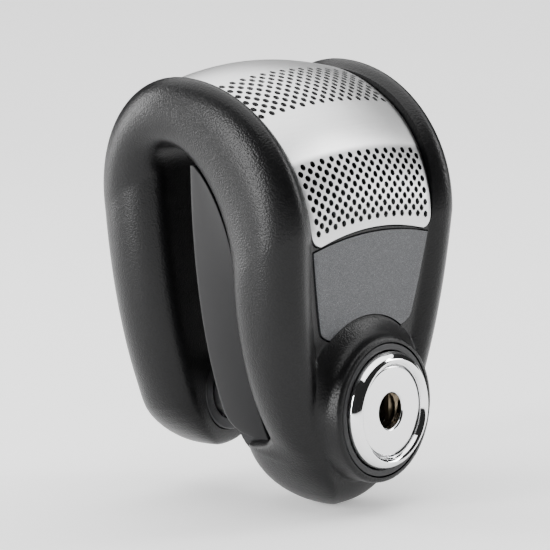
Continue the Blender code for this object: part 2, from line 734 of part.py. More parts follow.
def make_latch(steel):
    axis = joint_axis("latch_axis", latch_y, latch_tip)
    post("latch_plunger", latch_radius, latch_y, latch_tip, latch_head, steel, axis)
    coil("latch_spring", 1.1 * mm, 0.25 * mm, latch_head + 0.6 * mm, latch_spring_top - 0.6 * mm, 5, steel,
         upright=latch_y, sides=4, steps=8)
    post("latch_plug", latch_radius, latch_y, latch_spring_top, latch_top, steel)


def make_fittings(smooth_black, rubber, steel):
    seal_y = boss_y + collar_wall + gap
    turned("bore_collar", [(bore_radius, boss_y + 0.2 * mm), (bore_radius + 0.2 * mm, boss_y),
                           (core_nose_radius - 0.2 * mm, boss_y), (core_nose_radius, boss_y + 0.2 * mm),
                           (core_nose_radius, boss_y + collar_wall), (bore_radius, boss_y + collar_wall)],
           smooth_black)
    tube("bore_seal", core_nose_radius, bore_radius, seal_y, seal_y + seal_width - gap, rubber)
    tube("pin_guide_bush", guide_radius, pin_radius + running, bore_end + 0.2 * mm,
         slot_front - 0.1 * mm, steel)
    inner = pin_radius + running
    front, floor = slot_back + 0.1 * mm, receiver_back - receiver_floor
    turned("receiver_bush", [(receiver_radius - bush_chamfer, front), (receiver_radius, front + bush_chamfer),
                             (receiver_radius, receiver_back), (vent_radius, receiver_back), (vent_radius, floor),
                             (inner, floor), (inner, front + bush_chamfer), (inner + bush_chamfer, front)], steel)
    screw_tip = pin_height - button_radius + keyway_depth - gap
    post("retaining_screw", screw_radius, screw_y, screw_tip - screw_length, screw_tip, steel)


def main():
    for old in list(bpy.data.objects):
        bpy.data.objects.remove(old)
    cover_black = material("cover_black", (0.022, 0.022, 0.023), 0.42, 0)
    insert_grey = material("insert_grey", (0.05, 0.05, 0.053), 0.4, 0)
    panel_grey = material("panel_grey", (0.06, 0.06, 0.065), 0.45, 0.3)
    plate_steel = material("plate_steel", (0.6, 0.6, 0.6), 0.35, 1)
    dark = material("dark", (0.01, 0.01, 0.01), 0.7, 0)
    core_steel = material("core_steel", (0.03, 0.03, 0.032), 0.5, 0.6)
    smooth_black = material("smooth_black", (0.09, 0.09, 0.095), 0.35, 0)
    rubber = material("rubber", (0.015, 0.015, 0.015), 0.8, 0)
    chrome = material("chrome", (0.85, 0.85, 0.86), 0.06, 1)
    steel = material("steel", (0.55, 0.55, 0.56), 0.3, 1)
    brass = material("brass", (0.45, 0.33, 0.16), 0.35, 1)

    make_core(core_steel)
    make_cover(cover_black)
    make_inlays(panel_grey, plate_steel, dark)
    make_insert("side_insert_left", -1, insert_grey)
    make_insert("side_insert_right", 1, insert_grey)
    make_fittings(smooth_black, rubber, steel)
    make_button(chrome, steel, dark)
    make_cylinder(chrome, brass, steel)
    make_sidebar(steel)
    make_latch(steel)


main()
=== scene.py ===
from math import cos, pi, radians, sin, sqrt

import bmesh
import bpy
from mathutils import Matrix, Vector


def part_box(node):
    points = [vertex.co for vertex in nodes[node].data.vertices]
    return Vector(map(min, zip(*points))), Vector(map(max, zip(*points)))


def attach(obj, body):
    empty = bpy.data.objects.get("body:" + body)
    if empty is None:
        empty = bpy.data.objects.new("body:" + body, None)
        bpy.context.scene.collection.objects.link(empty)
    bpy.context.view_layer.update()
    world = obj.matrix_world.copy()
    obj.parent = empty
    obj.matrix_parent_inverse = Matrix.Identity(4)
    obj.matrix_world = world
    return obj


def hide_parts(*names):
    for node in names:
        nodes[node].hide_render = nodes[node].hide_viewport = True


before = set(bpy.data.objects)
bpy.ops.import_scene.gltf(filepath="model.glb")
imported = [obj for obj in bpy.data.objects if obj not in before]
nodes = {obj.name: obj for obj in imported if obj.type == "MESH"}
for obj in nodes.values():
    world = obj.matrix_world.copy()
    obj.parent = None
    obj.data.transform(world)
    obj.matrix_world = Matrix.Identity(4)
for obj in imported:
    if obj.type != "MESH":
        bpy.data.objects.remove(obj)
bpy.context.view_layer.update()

mm = 0.001
gap = 0.3 * mm       # what two pieces that touch keep between them
running = 0.25 * mm  # round pieces in their holes
flatWithin = 1e-6    # a face bent by more than this is triangulated

# the lock's axis and outer faces, from the frame
pinLow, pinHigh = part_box("locking_pin")
coverLow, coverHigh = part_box("outer_cover")
pinHeight = (pinLow.z + pinHigh.z) / 2
pinTip = pinHigh.y
halfWidth = coverHigh.x
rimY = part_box("button_shell")[0].y + 2.0 * mm   # the rim's dome stands 2 mm in front of it
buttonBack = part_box("button_shell")[1].y
bossY = coverLow.y
slotFront = 2.0 * mm   # the walls of the disc slot
slotBack = slotFront + 13.0 * mm


def mix(a, b, t):
    return a + (b - a) * t


def smooth(t):
    t = min(1.0, max(0.0, t))
    return t * t * (3 - 2 * t)


def meshPiece(name, points, faces):
    mesh = bpy.data.meshes.new(name)
    mesh.from_pydata(points, [], faces)
    shape = bmesh.new()
    shape.from_mesh(mesh)
    bmesh.ops.recalc_face_normals(shape, faces=shape.faces)
    bent = [f for f in shape.faces
            if max(abs((v.co - f.verts[0].co).dot(f.normal)) for v in f.verts) > flatWithin]
    bmesh.ops.triangulate(shape, faces=bent)
    shape.to_mesh(mesh)
    shape.free()
    made = bpy.data.objects.new(name, mesh)
    bpy.context.scene.collection.objects.link(made)
    return made


def bandBetween(rings, caps=True):
    # faces between closed rings of points, with the first and last ring closed or joined to each other
    n = len(rings[0])
    points = [p for ring in rings for p in ring]
    faces = []
    for i in range(len(rings) - 1 if caps else len(rings)):
        a, b = i * n, ((i + 1) % len(rings)) * n
        faces += [(a + j, a + (j + 1) % n, b + (j + 1) % n, b + j) for j in range(n)]
    if caps:
        faces += [tuple(range(n)), tuple(range((len(rings) - 1) * n, len(rings) * n))]
    return points, faces


def bake(piece):
    # the modifiers' result becomes the piece's own mesh
    bpy.context.view_layer.update()
    graph = bpy.context.evaluated_depsgraph_get()
    made = bpy.data.meshes.new_from_object(piece.evaluated_get(graph))
    piece.modifiers.clear()
    piece.data = made
    return piece


def carve(piece, cutter, how="DIFFERENCE", solver="MANIFOLD"):
    made = piece.modifiers.new("carve", "BOOLEAN")
    made.operation = how
    made.object = cutter
    made.solver = solver
    bake(piece)
    bpy.data.objects.remove(cutter)
    return piece


def turns(steps):
    return [2 * pi * (i + 0.5) / steps for i in range(steps)]


def softenEdges(piece, width):
    made = piece.modifiers.new("soften", "BEVEL")
    made.width = width
    made.segments = 3
    made.limit_method = "ANGLE"
    made.angle_limit = radians(40)
    made.harden_normals = False
    return bake(piece)


def latheRing(name, profile, steps):
    # a closed (radius, y) profile about the pin's axis, as a ring
    rings = [[(r * cos(a), y, pinHeight + r * sin(a)) for r, y in profile] for a in turns(steps)]
    return meshPiece(name, *bandBetween(rings, caps=False))


def latheSolid(name, profile, steps):
    # the same with both ends of the profile closed by flat faces
    rows = [[(r * cos(a), y, pinHeight + r * sin(a)) for a in turns(steps)] for r, y in profile]
    return meshPiece(name, *bandBetween(rows))


def rounded(corners, steps=4):
    # a closed profile from (r, y, fillet) corners, each rounded by its own fillet
    made = []
    for i, (r, y, fillet) in enumerate(corners):
        here = Vector((r, y))
        before = Vector(corners[i - 1][:2]) - here
        after = Vector(corners[(i + 1) % len(corners)][:2]) - here
        if fillet <= 0:
            made.append((r, y))
            continue
        reach = min(fillet, before.length * 0.45, after.length * 0.45)
        a, b = here + before.normalized() * reach, here + after.normalized() * reach
        for k in range(steps + 1):
            t = k / steps
            point = a * (1 - t) ** 2 + here * 2 * t * (1 - t) + b * t ** 2
            made.append((point.x, point.y))
    return made


def arc(cy, cz, ry, rz, a0, a1, steps):
    # (y, z) points on an ellipse
    return [(cy + ry * cos(mix(a0, a1, i / steps)), cz + rz * sin(mix(a0, a1, i / steps)))
            for i in range(steps + 1)]


def slab(name, outline, half):
    return meshPiece(name, *bandBetween([[(x, y, z) for y, z in outline] for x in (-half, half)]))


def cuboid(name, half, y0, y1, z0, z1):
    return slab(name, [(y0, z0), (y1, z0), (y1, z1), (y0, z1)], half)


class Wire:
    # one output socket; an expression on wires adds its Math nodes
    def __init__(self, finish, socket):
        self.finish = finish
        self.socket = socket

    def maths(self, operation, first, second):
        return self.finish.add("ShaderNodeMath", {"operation": operation}, {0: first, 1: second})

    def __add__(self, other):
        return self.maths("ADD", self, other)

    def __radd__(self, other):
        return self.maths("ADD", other, self)

    def __sub__(self, other):
        return self.maths("SUBTRACT", self, other)

    def __rsub__(self, other):
        return self.maths("SUBTRACT", other, self)

    def __mul__(self, other):
        return self.maths("MULTIPLY", self, other)

    def __rmul__(self, other):
        return self.maths("MULTIPLY", other, self)

    def __pow__(self, other):
        return self.maths("POWER", self, other)

    def ramp(self, low, high):
        # 0 below low, 1 above high
        return self.finish.add("ShaderNodeMapRange", {"interpolation_type": "SMOOTHSTEP"},
                               {"Value": self, "From Min": low, "From Max": high})


class Finish:
    # one Principled material and the nodes that feed it
    def __init__(self, name, **constants):
        self.material = bpy.data.materials.new(name)
        self.material.use_nodes = True
        self.tree = self.material.node_tree
        self.shader = self.tree.nodes["Principled BSDF"]
        for key, value in constants.items():
            self.shader.inputs[key.replace("_", " ")].default_value = value

    def put(self, socket, value):
        if isinstance(value, Wire):
            self.tree.links.new(value.socket, socket)
        else:
            socket.default_value = value

    def add(self, kind, settings, sockets, output=0):
        node = self.tree.nodes.new(kind)
        for key, value in settings.items():
            setattr(node, key, value)
        for key, value in sockets.items():
            self.put(node.inputs[key], value)
        return Wire(self, node.outputs[output])

    def place(self, stretch=(1, 1, 1)):
        # a point of the piece in millimetres, stretched for brushing
        spot = self.add("ShaderNodeTexCoord", {}, {}, "Object")
        return self.add("ShaderNodeVectorMath", {"operation": "MULTIPLY"},
                        {0: spot, 1: tuple(1000 * s for s in stretch)})

    def noise(self, size, detail=2, stretch=(1, 1, 1), roughness=0.5):
        return self.add("ShaderNodeTexNoise", {}, {"Vector": self.place(stretch), "Scale": 1 / size,
                                                   "Detail": detail, "Roughness": roughness})

    def cells(self, size, feature="F1", output="Distance"):
        return self.add("ShaderNodeTexVoronoi", {"feature": feature},
                        {"Vector": self.place(), "Scale": 1 / size}, output)

    def split(self, vector):
        # its X, Y and Z
        return [self.add("ShaderNodeSeparateXYZ", {}, {"Vector": vector}, i) for i in range(3)]

    def blend(self, factor, a, b):
        first, second = [(*c, 1) if isinstance(c, tuple) else c for c in (a, b)]
        return self.add("ShaderNodeMix", {"data_type": "RGBA"}, {0: factor, 6: first, 7: second}, 2)

    def done(self, colour, roughness, metallic=None, height=None, depth=0.00005, strength=1.0):
        self.put(self.shader.inputs["Base Color"], colour)
        self.put(self.shader.inputs["Roughness"], roughness)
        if metallic is not None:
            self.put(self.shader.inputs["Metallic"], metallic)
        if height is not None:
            bump = {"Height": height, "Distance": depth, "Strength": strength}
            self.put(self.shader.inputs["Normal"], self.add("ShaderNodeBump", {}, bump))
        return self.material


coverLooks = {
    "dark": (0.0018, 0.0018, 0.0020), "light": (0.0055, 0.0055, 0.0060), "specular": 0.24,
    "grain": 0.36, "fineSize": 0.22, "swellSize": 3.2, "patchSize": 14,   # mm
    "fine": 0.15, "swell": 0.06, "roughness": 0.27, "grainDepth": 0.00010, "strength": 0.55,
}


def mouldedBlack():
    looks = coverLooks
    f = Finish("moulded_black", Specular_IOR_Level=looks["specular"])
    pebbles = f.cells(looks["grain"], "SMOOTH_F1")
    fine = f.noise(looks["fineSize"], 3)
    swell = f.noise(looks["swellSize"], 2)
    relief = 1 - pebbles * 1.2 + fine * looks["fine"] + swell * looks["swell"]
    patch = f.noise(looks["patchSize"], 3)
    colour = f.blend(pebbles.ramp(0.1, 0.75) * 0.6 + patch * 0.35, looks["light"], looks["dark"])
    rough = looks["roughness"] + fine * 0.1 + patch * 0.06
    return f.done(colour, rough, height=relief, depth=looks["grainDepth"], strength=looks["strength"])


greyLooks = {
    "specular": 0.25, "fineSize": 0.12, "cloudSize": 7, "grainDepth": 0.000012, "strength": 0.5,
    # the dark and the light tone, and the roughness
    "insert_grey": ((0.0035, 0.0035, 0.004), (0.0065, 0.0065, 0.0072), 0.42),
    "collar_grey": ((0.022, 0.022, 0.023), (0.034, 0.034, 0.036), 0.33),
}


def smoothGrey(name):
    looks = greyLooks
    dark, light, roughness = looks[name]
    f = Finish(name, Specular_IOR_Level=looks["specular"])
    fine = f.noise(looks["fineSize"], 2)
    cloud = f.noise(looks["cloudSize"], 4)
    rough = roughness + fine * 0.07 + cloud * 0.04
    return f.done(f.blend(cloud, dark, light), rough, height=fine, depth=looks["grainDepth"],
                  strength=looks["strength"])


panelLooks = {
    "dark": (0.024, 0.025, 0.028), "light": (0.050, 0.052, 0.057), "spark": (0.17, 0.175, 0.185),
    "speck": 0.10, "bodySize": 0.5, "reliefSize": 0.25, "sparkFrom": 0.70,   # sizes in mm
    "roughness": 0.42, "reliefDepth": 0.00003, "strength": 0.6,
}


def speckledCoat():
    # each flake has its own brightness and tilt
    looks = panelLooks
    f = Finish("speckled_coat", Coat_Weight=0.12, Coat_Roughness=0.25)
    flake = f.cells(looks["speck"], output="Color")
    pick = f.add("ShaderNodeSeparateColor", {}, {"Color": flake}, 0)
    tilt = f.add("ShaderNodeSeparateColor", {}, {"Color": flake}, 1)
    bright = pick.ramp(looks["sparkFrom"], 1.0)
    body = f.blend(tilt * 0.7 + f.noise(looks["bodySize"], 2) * 0.3, looks["dark"], looks["light"])
    relief = f.noise(looks["reliefSize"], 2) + tilt * 0.6
    return f.done(f.blend(bright * 0.8, body, looks["spark"]), looks["roughness"] - bright * 0.14,
                  bright * 0.7 + 0.25, relief, looks["reliefDepth"], looks["strength"])


steelLooks = {
    "dark": (0.56, 0.565, 0.57), "light": (0.84, 0.84, 0.84), "roughness": 0.24,
    "lineSize": 0.09, "broadSize": 0.6, "cloudSize": 16, "stretch": (0.03, 1, 1),
    "lineDepth": 0.000012, "strength": 0.45,
    # the last entries paint a dark reflection: shade is its colour, then its share and the band where it
    # lies
    "shade": (0.10, 0.10, 0.103), "paintedReflectionShare": 0.75, "reflectionLineHeight": 80.0, "reflectionLineBow": 0.004,
    "reflectionEdge": (-0.4, 1.0), "reflectionFade": (-15.0, -3.0),   # mm above the line of the painted dark reflection
}


def brushedSteel():
    # brushed along X, with a painted dark reflection: darker below the line between the plain band and the
    # lower holes
    looks = steelLooks
    f = Finish("brushed_steel", Metallic=1.0)
    lines = f.noise(looks["lineSize"], 4, looks["stretch"], 0.65)
    broad = f.noise(looks["broadSize"], 3, looks["stretch"])
    cloud = f.noise(looks["cloudSize"], 3)
    across, _, height = f.split(f.place())
    above = height + across * across * looks["reflectionLineBow"] - looks["reflectionLineHeight"]
    # painted dark reflection: darkest just below the line, fading out about 15 mm under it
    paintedReflection = above.ramp(*looks["reflectionFade"]) * (1 - above.ramp(*looks["reflectionEdge"]))
    metal = f.blend(lines * 0.55 + broad * 0.3 + cloud * 0.15, looks["dark"], looks["light"])
    # the painted dark reflection mixed into the metal's colour
    colour = f.blend(paintedReflection * looks["paintedReflectionShare"], metal, looks["shade"])
    rough = looks["roughness"] + lines * 0.16 + cloud * 0.05
    return f.done(colour, rough, height=lines + broad * 0.5, depth=looks["lineDepth"],
                  strength=looks["strength"])


chromeLooks = {
    "dark": (0.86, 0.865, 0.875), "light": (0.93, 0.93, 0.935), "roughness": 0.035,
    "smudgeSize": 6, "hairSize": 0.05, "stretch": (0.2, 1, 1), "smudgeDepth": 0.00001, "strength": 0.15,
}


def polishedChrome():
    looks = chromeLooks
    f = Finish("polished_chrome", Metallic=1.0)
    smudge = f.noise(looks["smudgeSize"], 4)
    hair = f.noise(looks["hairSize"], 2, looks["stretch"])
    rough = looks["roughness"] + smudge * 0.05 + hair * 0.015
    return f.done(f.blend(smudge, looks["dark"], looks["light"]), rough, height=smudge,
                  depth=looks["smudgeDepth"], strength=looks["strength"])


turnedLooks = {
    "ringSize": 0.22, "stainSize": 2.2, "ringDepth": 0.00002, "strength": 0.4,
    # the dark and the light tone, and the roughness
    "turned_steel": ((0.42, 0.42, 0.43), (0.62, 0.62, 0.63), 0.2),
    "dark_bush": ((0.035, 0.035, 0.037), (0.09, 0.09, 0.092), 0.34),
    "turned_brass": ((0.10, 0.078, 0.05), (0.30, 0.245, 0.17), 0.28),
}


def turnedMetal(name):
    # rings left by the lathe about the pin's axis, and stains
    looks = turnedLooks
    dark, light, roughness = looks[name]
    f = Finish(name, Metallic=1.0)
    across, along, height = f.split(f.place())
    height = height - pinHeight / mm
    radius = (across * across + height * height) ** 0.5
    rings = f.add("ShaderNodeTexNoise", {"noise_dimensions": "1D"},
                  {"W": radius + along * 0.9, "Scale": 1 / looks["ringSize"], "Detail": 3.0})
    stain = f.noise(looks["stainSize"], 4)
    colour = f.blend(rings * 0.6 + stain * 0.4, dark, light)
    rough = roughness + rings * 0.14 + stain * 0.08
    return f.done(colour, rough, height=rings, depth=looks["ringDepth"], strength=looks["strength"])


darkLooks = {
    "steel": ((0.008, 0.008, 0.009), (0.028, 0.028, 0.03)), "scaleSize": 0.5, "cloudSize": 9,
    "rubber": ((0.008, 0.008, 0.008), (0.022, 0.022, 0.022)), "rubberGrain": 0.15,
    "shadow": ((0.002, 0.002, 0.002), (0.008, 0.008, 0.008)), "shadowGrain": 0.4, "strength": 0.5,
}


def blackenedSteel():
    f = Finish("blackened_steel")
    scale = f.noise(darkLooks["scaleSize"], 5)
    cloud = f.noise(darkLooks["cloudSize"], 3)
    colour = f.blend(scale * 0.6 + cloud * 0.4, *darkLooks["steel"])
    return f.done(colour, 0.45 + scale * 0.2, 0.35 + cloud * 0.2, scale, strength=darkLooks["strength"])


def sealRubber():
    f = Finish("seal_rubber")
    grain = f.noise(darkLooks["rubberGrain"], 3)
    return f.done(f.blend(grain, *darkLooks["rubber"]), 0.6 + grain * 0.2, height=grain, depth=0.00003,
                  strength=darkLooks["strength"])


def holeShadow():
    f = Finish("hole_shadow", Specular_IOR_Level=0.15)
    grain = f.noise(darkLooks["shadowGrain"], 3)
    return f.done(f.blend(grain, *darkLooks["shadow"]), 0.8 + grain * 0.15)


def dress(piece, material, body=None, sharpAngle=35):
    piece.data.materials.clear()
    piece.data.materials.append(material)
    if body:
        piece.data.shade_smooth()
        piece.data.set_sharp_from_angle(angle=radians(sharpAngle))
        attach(piece, body)
    return piece


cover = {
    # the U: the arch's centre and radii, how its legs lean, and their rounded feet
    "archY": 5.0 * mm, "archZ": pinHeight + 41.7 * mm, "archFront": 33.0 * mm, "archBack": 27.0 * mm,
    "archRise": 32.0 * mm, "frontLean": 0.10, "backLean": 0.03, "frontPole": -14.0 * mm,
    "toeHeight": 10.0 * mm, "chinHeight": 13.8 * mm, "backBottom": 9.0 * mm, "backToe": 11.5 * mm,
    "backUnder": 6.5 * mm, "slotUnder": 5.0 * mm, "taperHeight": 8.3 * mm,
    "slotRadius": 6.5 * mm, "slotRoof": pinHeight + 52.3 * mm,
    # the section: a raised bead on each side, a recess between them, flanks that tuck in
    "beadLeg": 10.5 * mm, "beadArch": 7.8 * mm, "beadDepth": 2.0 * mm, "beadRise": 0.42,
    "recessEnd": 6.0 * mm, "recessRun": 24.0 * mm, "cornerDepth": 10.0 * mm, "sectionHalf": 20.0 * mm,
    "seamBack": -10.5 * mm, "seamTop": pinHeight + 31.0 * mm, "seamLean": 0.02, "seamPower": 1.8,
    "seamTuck": 3.4 * mm, "chinTuck": 7.0 * mm, "backTuck": 6.0 * mm,
    # the hollow for the core
    "wall": 5.0 * mm, "backFlankWall": 5.0 * mm, "backFootWall": 3.0 * mm, "slotSkin": 1.8 * mm,
    "heelWall": 1.5 * mm, "heelRise": 6.0 * mm, "heelSet": 1.5 * mm, "frontBlock": 5.0 * mm,
    "coreInset": 3.0 * mm, "shoulder": pinHeight + 32 * mm,
    "backFootCuts": (3.5 * mm, 8 * mm, 2 * mm, 5 * mm),   # run and rise behind, run and rise in front
    # the boss
    "boreRadius": 13.25 * mm, "collarWall": 1.4 * mm, "bossWall": 1.2 * mm, "bossFlare": 4.2 * mm,
    "flareDepth": 5.6 * mm, "flarePower": 2.2, "bossDepth": 9.0 * mm,
    "voxel": 0.42 * mm, "quickVoxel": 0.8 * mm, "evenings": 7,
    "chinSteps": 14, "legSteps": 26, "archSteps": 46, "roundSteps": 144,
}
slotMid = slotFront + cover["slotRadius"]
noseRadius = cover["boreRadius"] + cover["collarWall"]
bossRadius = noseRadius + gap + cover["bossWall"]
heelRadius = cover["boreRadius"] + cover["heelWall"]


def legHalf(z):
    top = cover["archZ"] + cover["taperHeight"]
    return halfWidth * sqrt(max(0.0, 1 - max(0.0, (top - z) / top) ** 2))


def backHalf(z):
    low = max(0.0, 1 - (z - cover["backBottom"]) / cover["backToe"])
    return (legHalf(z) - cover["seamTuck"]) * sqrt(max(0.0, 1 - low ** 2))


def frontCrest(z):
    under = 1 - sqrt(1 - min(1.0, max(0.0, 1 - z / cover["toeHeight"])) ** 2)
    return mix(cover["archY"] - cover["archFront"] + cover["frontLean"] * (cover["archZ"] - z),
               cover["frontPole"], under)


def frontSeam(z):
    return cover["seamBack"] + cover["seamLean"] * (cover["seamTop"] - z)


def chin(z):
    pole = cover["frontPole"]
    low = max(0.0, 1 - z / cover["chinHeight"])
    return pole + (slotFront - 0.5 * mm - pole) * sqrt(1 - low ** 2)


def recessAt(height):
    return cover["beadDepth"] * smooth((height - cover["recessEnd"]) / cover["recessRun"])


def coverStations():
    # outer and inner (y, z), half width, bead width, tuck and recess,
    # from the front leg's foot over the arch to the back leg's
    c = cover
    made = []
    for i in range(c["chinSteps"] + 1):
        drop = 1 - cos(max(i, 0.9) / c["chinSteps"] * pi / 2)
        zo = c["toeHeight"] * drop
        zi = c["chinHeight"] * drop
        made.append(((frontCrest(zo), zo), (chin(zi), zi), legHalf(zo), c["beadLeg"], c["chinTuck"],
                     recessAt(zo)))
    for i in range(c["legSteps"] + 1):
        t = (i + 0.35) / (c["legSteps"] + 0.35)
        zo = mix(c["toeHeight"], c["archZ"], t)
        zi = mix(c["chinHeight"], c["seamTop"], t)
        fromChin = smooth((zi - c["chinHeight"]) / (3 * mm))
        made.append(((frontCrest(zo), zo), (mix(chin(zi), frontSeam(zi), fromChin), zi), legHalf(zo),
                     c["beadLeg"], mix(c["chinTuck"], c["seamTuck"], fromChin), recessAt(zo)))
    roofTop = c["slotRoof"] + c["slotRadius"]
    for i in range(1, c["archSteps"]):
        a = pi * (1 - i / c["archSteps"])
        rim = c["archFront"] if cos(a) < 0 else c["archBack"]
        outer = (c["archY"] + rim * cos(a), c["archZ"] + c["archRise"] * sin(a))
        if cos(a) < 0:
            power = 2 / c["seamPower"]
            inner = (slotMid - (slotMid - c["seamBack"]) * (-cos(a)) ** power,
                     c["seamTop"] + (roofTop - c["seamTop"]) * sin(a) ** power)
        else:
            inner = (slotMid + c["slotRadius"] * cos(a), c["slotRoof"] + c["slotRadius"] * sin(a))
        narrow = backHalf(c["archZ"]) if cos(a) > 0 else legHalf(c["archZ"])
        made.append((outer, inner, mix(narrow, halfWidth, sin(a)),
                     mix(c["beadLeg"], c["beadArch"], sin(a)),
                     mix(c["seamTuck"], c["backTuck"], i / c["archSteps"]), c["beadDepth"]))
    for i in range(c["legSteps"], 0, -1):
        drop = 1 - cos(i / c["legSteps"] * pi / 2)
        zo = mix(c["backBottom"], c["archZ"], drop)
        zi = mix(c["backBottom"], c["slotRoof"], drop)
        low = 1 - sqrt(max(0.0, 1 - max(0.0, 1 - (zo - c["backBottom"]) / c["backToe"]) ** 2))
        back = c["archY"] + c["archBack"] - c["backLean"] * (c["archZ"] - zo)
        made.append(((back - c["backUnder"] * low, zo), (slotBack + c["slotUnder"] * low, zi),
                     backHalf(zo), c["beadLeg"], c["backTuck"], recessAt(zo - c["backBottom"])))
    return made


def coverRing(outer, inner, half, bead, tuck, recess):
    # (x, depth) of one half of the section, from the middle of the outer face to the inner, then mirrored
    depth = sqrt((inner[0] - outer[0]) ** 2 + (inner[1] - outer[1]) ** 2)
    size = min(1.0, half / cover["sectionHalf"])
    bead *= size
    tuck *= size
    corner = min(cover["cornerDepth"], depth * 0.5)
    flat = max(half - bead, half * 0.3)
    crest = mix(flat, half, cover["beadRise"])
    side = [(flat * t, recess) for t in (0.25, 0.5, 0.75, 0.92)]
    side += [(mix(flat, crest, i / 8), recess * (1 - i / 8) ** 1.5) for i in range(9)]
    side += [(crest + (half - crest) * sin(a), corner * (1 - cos(a)))
             for a in (radians(90) * i / 14 for i in range(1, 15))]
    side += [(half - tuck * (1 - cos(a)), corner + (depth - corner) * sin(a))
             for a in (radians(90) * i / 10 for i in range(1, 11))]
    side += [((half - tuck) * t, depth) for t in (0.75, 0.5, 0.25)]
    section = [(0, recess)] + side + [(0, depth)] + [(-x, d) for x, d in reversed(side)]
    uy, uz = (inner[0] - outer[0]) / depth, (inner[1] - outer[1]) / depth
    return [(x, outer[0] + uy * d, outer[1] + uz * d) for x, d in section]


def bossSolid():
    # its upper half widens in a hollow curve towards the panel; (wider, depth, share of the flare)
    profile = [(-0.55 * mm, 0.0, 0), (-0.2 * mm, 0.12 * mm, 0), (0, 0.5 * mm, 0), (0.05 * mm, 1.0 * mm, 0)]
    profile += [(0.1 * mm, mix(1.0 * mm, cover["flareDepth"], t),
                 max(0.0, (t - 0.1) / 0.9) ** cover["flarePower"]) for t in (i / 12 for i in range(1, 13))]
    profile.append((0.1 * mm, cover["bossDepth"], 1))
    rows = []
    for wider, depth, flare in profile:
        row = []
        for a in turns(cover["roundSteps"]):
            upward = min(1.0, max(0.0, 0.25 + 1.5 * sin(a)))
            r = bossRadius + wider + cover["bossFlare"] * flare * upward
            row.append((r * cos(a), bossY + depth, pinHeight + r * sin(a)))
        rows.append(row)
    return meshPiece("boss", *bandBetween(rows))


def coreSide(grow):
    # the core's outline from the side, (y, z)
    c = cover
    wall = c["wall"] + c["beadDepth"] - grow
    rise = c["archRise"] - wall
    foot = pinHeight - heelRadius - grow
    heel = foot + c["heelRise"]
    outline = [(frontCrest(heel) + wall + c["heelSet"], foot)]
    outline += [(frontCrest(z) + wall, z) for z in (mix(heel, c["archZ"], i / 12) for i in range(13))]
    outline += arc(c["archY"], c["archZ"], c["archFront"] - wall, rise, radians(174), radians(90), 14)
    outline += arc(c["archY"], c["archZ"], c["archBack"] - wall, rise, radians(84), 0, 14)
    backFoot = c["backBottom"] + c["backFootWall"] - grow
    backY = c["archY"] + c["archBack"] - wall - c["backLean"] * (c["archZ"] - backFoot)
    skin = c["slotSkin"] - grow
    heelRun, heelUp, toeRun, toeUp = c["backFootCuts"]
    outline += [(backY, backFoot + heelUp), (backY - heelRun, backFoot),
                (slotBack + skin + toeRun, backFoot), (slotBack + skin, backFoot + toeUp)]
    over = c["slotRadius"] + skin
    outline += arc(slotMid, c["slotRoof"], over, over, 0, radians(90), 10)
    outline += arc(slotMid, c["slotRoof"], c["slotRadius"] - grow, over, radians(99), pi, 9)
    block = slotFront + c["frontBlock"]
    return outline + [(block, c["slotRoof"] - 2 * mm), (block, foot)]


def coreFront(grow):
    # the front leg's outline from the front, (x, z)
    radius = heelRadius + grow
    wide = halfWidth - cover["seamTuck"] - cover["coreInset"] - gap + grow
    right = [(radius * cos(a), pinHeight + radius * sin(a))
             for a in (radians(-90 + 9 * (i + 0.5)) for i in range(10))]
    right += [(mix(radius, wide, sin(pi / 2 * i / 6)), mix(pinHeight, cover["shoulder"], i / 6))
              for i in range(7)]
    right.append((wide, cover["archZ"] + cover["archRise"]))
    return right + [(-x, z) for x, z in reversed(right)]


def coreBack(grow):
    # the back leg's outline from the front, (x, z)
    foot = cover["backBottom"] + cover["backFootWall"] - grow
    top = cover["archZ"] + cover["archRise"]
    right = []
    for i in range(17):
        z = mix(foot, cover["archZ"], 1 - cos(pi / 2 * (i + 0.5) / 16.5))
        low = max(0.0, 1 - (z - foot) / cover["backToe"])
        wide = legHalf(z) - cover["seamTuck"] - cover["backFlankWall"] + grow
        right.append((wide * sqrt(1 - low ** 2), z))
    right.append((halfWidth - cover["seamTuck"] - cover["backFlankWall"] + grow, top))
    return right + [(-x, z) for x, z in reversed(right)]


def cavity():
    # the side outline, cut to the front's outline ahead of the slot's middle and to the back's behind it
    body = slab("cavity", coreSide(gap), halfWidth)
    views = [(coreFront(gap), -40 * mm), (coreFront(gap), slotMid), (coreBack(gap), slotMid + 0.5 * mm),
             (coreBack(gap), 40 * mm)]
    rings = [[(x, y, z) for x, z in outline] for outline, y in views]
    return carve(body, meshPiece("cavity_view", *bandBetween(rings)), "INTERSECT", "EXACT")


def bore(name, radius, y0, y1, steps):
    return latheSolid(name, [(radius, y0), (radius, y1)], steps)


def makeCover(material):
    made = meshPiece("moulded_cover", *bandBetween([coverRing(*s) for s in coverStations()]))
    carve(made, bossSolid(), "UNION", "EXACT")
    even = made.modifiers.new("even", "REMESH")
    even.mode = "VOXEL"
    even.voxel_size = cover["voxel"]
    melt = made.modifiers.new("melt", "SMOOTH")
    melt.factor = 0.5
    melt.iterations = cover["evenings"]
    bake(made)
    carve(made, cavity())
    carve(made, bore("bore", noseRadius + gap, rimY - 5 * mm, slotFront - 2 * mm, cover["roundSteps"]))
    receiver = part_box("receiver_bush")[1]
    carve(made, bore("receiver", receiver.x + gap, slotMid, receiver.y + gap, 96))
    bed = inlay("panel_bed", panelFace, (40, 12), gap, -plate["reach"], plate["panelThickness"] + gap)
    carve(bed, bore("bed_boss", bossRadius + cover["bossFlare"], rimY - 10 * mm, 0, 140))
    carve(made, bed)
    depth = plate["thickness"] + plate["backing"] + 3 * gap
    carve(made, inlay("plate_bed", plateFace, (90, 16), gap, -plate["reach"], depth))
    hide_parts("outer_cover")
    return dress(made, material, "root", sharpAngle=50)


